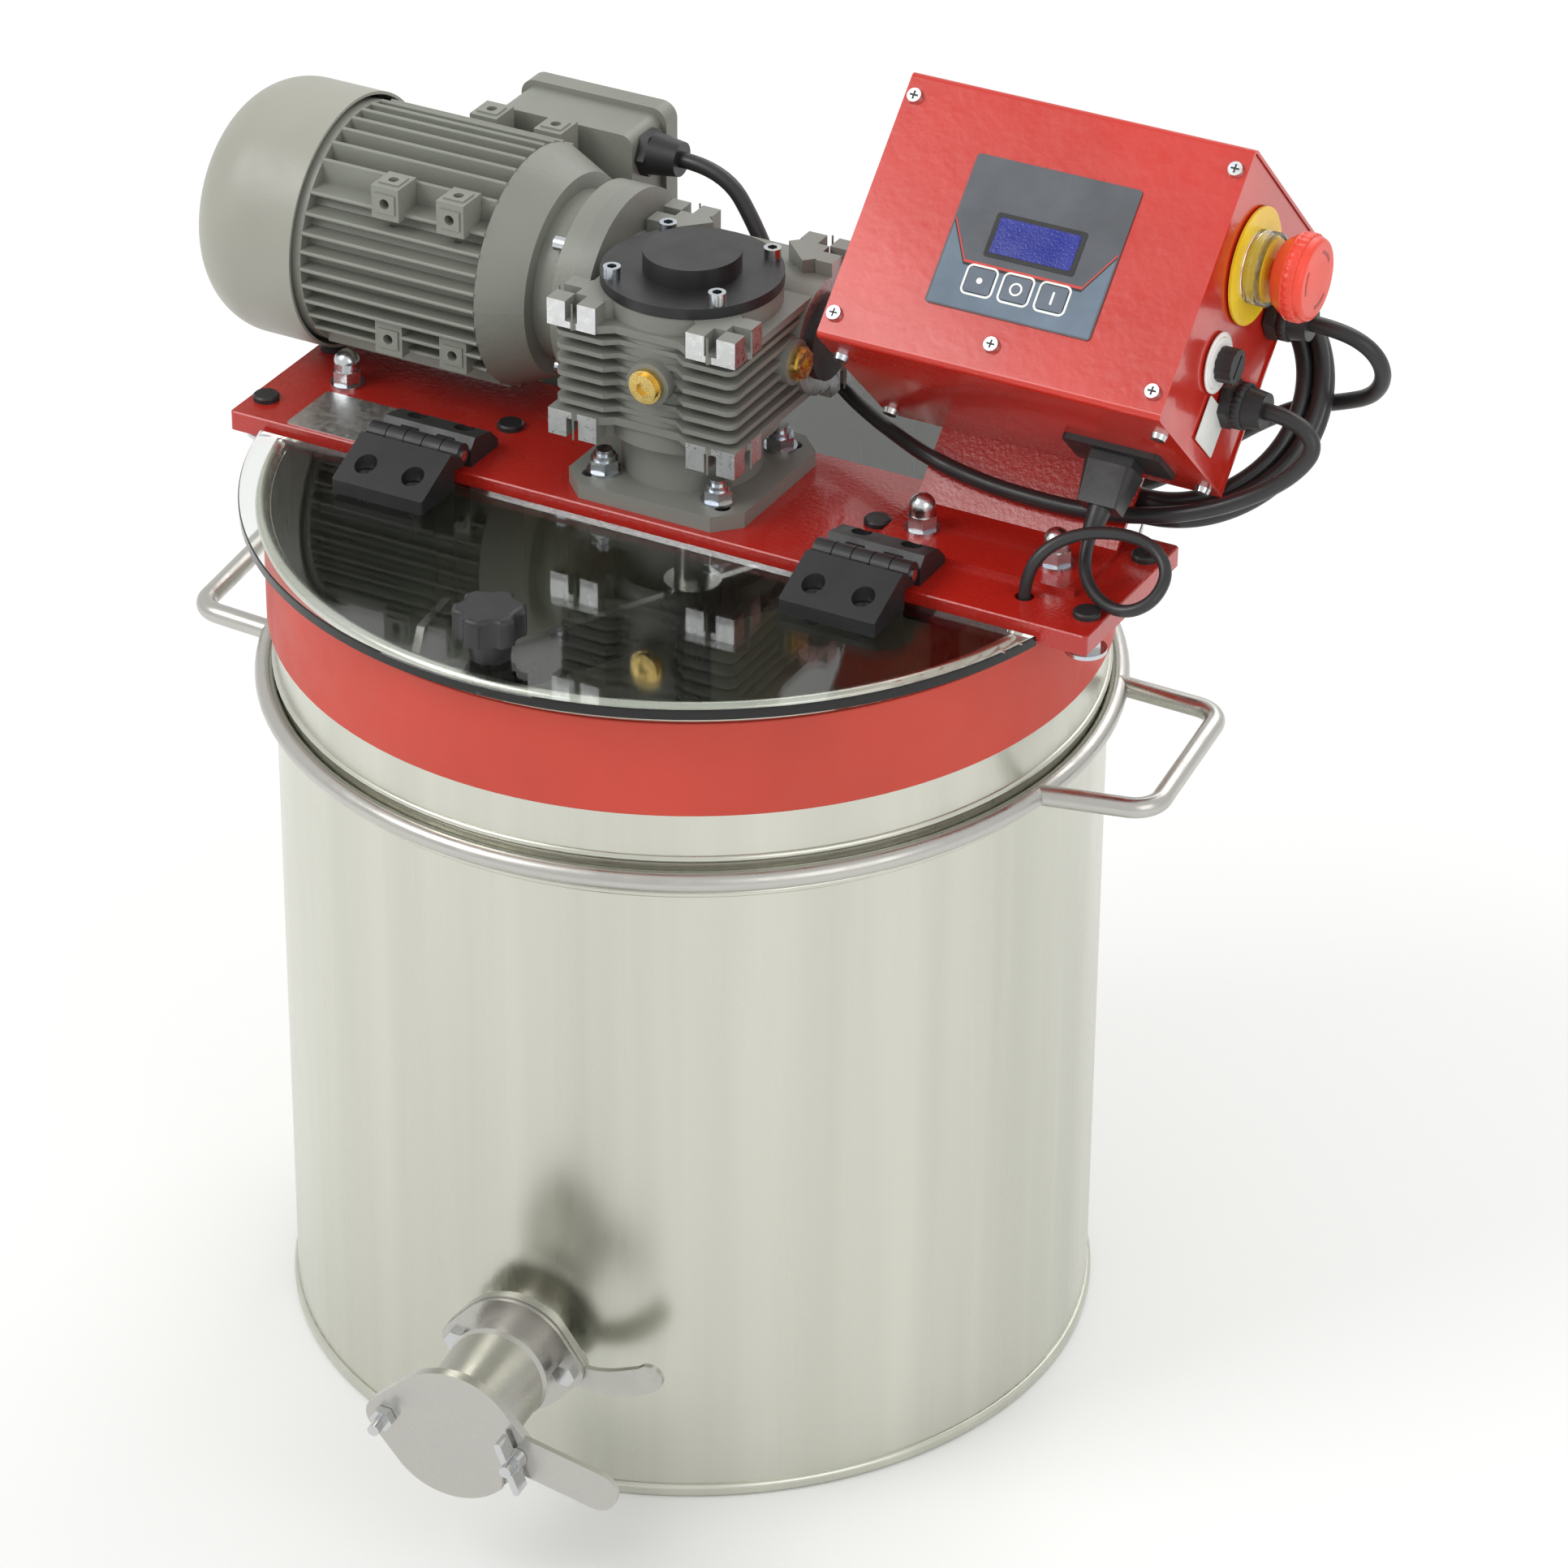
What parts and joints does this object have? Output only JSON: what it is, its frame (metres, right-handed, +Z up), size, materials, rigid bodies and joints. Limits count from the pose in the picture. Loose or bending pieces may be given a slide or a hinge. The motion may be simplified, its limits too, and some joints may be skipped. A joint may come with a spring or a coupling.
{
  "type": "motorised honey creamer",
  "caption": "Stainless honey creaming tank with a worm gearmotor and stirrer on a bridge plate, tilted control box, half lids and a swinging two-blade gate",
  "frame": {"origin": "centre of the tank's foot circle, on the floor", "axes": "+Z up along the tank axis, -Y toward the honey gate side, -X toward the motor, +X toward the control box"},
  "size_m": [0.5848, 0.5345, 0.6522],
  "materials": {
    "tank_steel": "mirror polished with faint streaks",
    "satin_steel": "satin",
    "stainless_bolt": "bright",
    "band_red": "matte powder coat",
    "plate_red": "glossy textured powder coat",
    "box_red": "smooth gloss powder coat",
    "lid_acrylic": "clear",
    "black_plastic": "matte",
    "gear_grey": "satin paint",
    "motor_grey": "satin paint",
    "cowl_grey": "satin paint",
    "zinc": "bright zinc",
    "bearing_steel": "ground",
    "bronze": "machined",
    "tool_steel": "machined",
    "copper_core": "laminations and windings",
    "panel_grey": "membrane",
    "key_face": "membrane",
    "estop_yellow": "gloss",
    "estop_red": "gloss",
    "white_plastic": "satin",
    "board_green": "solder mask",
    "cord_black": "semi gloss"
  },
  "bodies": {
    "tank": {"tank_shell": "tank_steel", "tank_floor_and_foot_ring": "tank_steel", "red_band": "band_red", "carrying_hoop": "satin_steel", "outlet_stub": "satin_steel", "gate_spool": "satin_steel", "gate_bolts": "stainless_bolt", "floor_bush": "black_plastic", "bridge_plate": "plate_red", "hole_plugs": "black_plastic", "plate_nuts": "zinc", "plate_bolts": "zinc", "hinge_bases": "black_plastic", "hinge_fixings": "zinc", "rear_lid": "lid_acrylic", "lid_switch": "black_plastic", "switch_lead": "cord_black", "switch_lead_plug": "black_plastic", "gearbox_housing": "gear_grey", "output_flange": "gear_grey", "gearmotor_screws": "zinc", "gearbox_covers": "black_plastic", "ball_bearings": "bearing_steel", "motor_frame": "motor_grey", "motor_end_shields": "motor_grey", "fan_cowl": "cowl_grey", "stator": "copper_core", "terminal_box": "motor_grey", "cable_glands": "black_plastic", "control_bracket": "plate_red", "box_body": "box_red", "box_cover": "box_red", "box_screws": "zinc", "control_panel": "panel_grey", "estop_base": "estop_yellow", "fuse_holder": "white_plastic", "power_inlet": "black_plastic", "control_board": "board_green", "motor_cable": "cord_black", "mains_cord": "cord_black", "mains_coil": "cord_black", "mains_plug": "black_plastic"},
    "front_lid": {"front_lid": "lid_acrylic", "lid_knob": "black_plastic", "hinge_leaves": "black_plastic", "lid_screws": "zinc"},
    "stirrer": {"worm_wheel": "bronze", "stirrer_shaft": "satin_steel", "stirrer_frame": "satin_steel"},
    "rotor": {"rotor": "tool_steel", "worm_shaft": "tool_steel", "cooling_fan": "black_plastic"},
    "front_gate": {"front_gate": "satin_steel"},
    "rear_gate": {"rear_gate": "satin_steel"},
    "wing_nut": {"wing_nut": "stainless_bolt"},
    "key_p": {"key_p": "key_face"},
    "key_o": {"key_o": "key_face"},
    "key_i": {"key_i": "key_face"},
    "estop_head": {"estop_head": "estop_red"},
    "fuse_cap": {"fuse_cap": "black_plastic"}
  },
  "joints": [
    {"name": "stirrer_spin", "type": "hinge", "parent": "tank", "child": "stirrer", "pos_m": [0, 0, 0.523], "axis": [0, 0, 1], "continuous": true},
    {"name": "rotor_spin", "type": "hinge", "parent": "tank", "child": "rotor", "pos_m": [0, 0.04, 0.523], "axis": [1, 0, 0], "continuous": true},
    {"name": "front_lid_hinge", "type": "hinge", "parent": "tank", "child": "front_lid", "pos_m": [0, -0.0535, 0.465], "axis": [-1, 0, 0], "range_deg": [0, 95]},
    {"name": "front_gate_swing", "type": "hinge", "parent": "tank", "child": "front_gate", "pos_m": [-0.00337, -0.29245, 0.08837], "axis": [0.1045, -0.9945, 0], "range_deg": [0, 130]},
    {"name": "rear_gate_swing", "type": "hinge", "parent": "tank", "child": "rear_gate", "pos_m": [-0.00551, -0.21958, 0.08799], "axis": [0.1045, -0.9945, 0], "range_deg": [0, 125]},
    {"name": "wing_nut_turn", "type": "hinge", "parent": "tank", "child": "wing_nut", "pos_m": [0.06457, -0.28984, 0.08363], "axis": [0.1045, -0.9945, 0], "range_deg": [0, 540]},
    {"name": "key_p_press", "type": "slide", "parent": "tank", "child": "key_p", "axis": [0, 0.7071, -0.7071], "range_m": [0, 0.0006], "stiffness_N_per_m": 1500},
    {"name": "key_o_press", "type": "slide", "parent": "tank", "child": "key_o", "axis": [0, 0.7071, -0.7071], "range_m": [0, 0.0006], "stiffness_N_per_m": 1500},
    {"name": "key_i_press", "type": "slide", "parent": "tank", "child": "key_i", "axis": [0, 0.7071, -0.7071], "range_m": [0, 0.0006], "stiffness_N_per_m": 1500},
    {"name": "estop_press", "type": "slide", "parent": "tank", "child": "estop_head", "axis": [-1, 0, 0], "range_m": [0, 0.004], "stiffness_N_per_m": 3000},
    {"name": "fuse_cap_twist", "type": "hinge", "parent": "tank", "child": "fuse_cap", "pos_m": [0.2525, 0.03923, 0.55941], "axis": [1, 0, 0], "range_deg": [0, 90]}
  ],
  "couplings": [
    {"joint": "rotor_spin", "follows": "stirrer_spin", "ratio": 30}
  ]
}
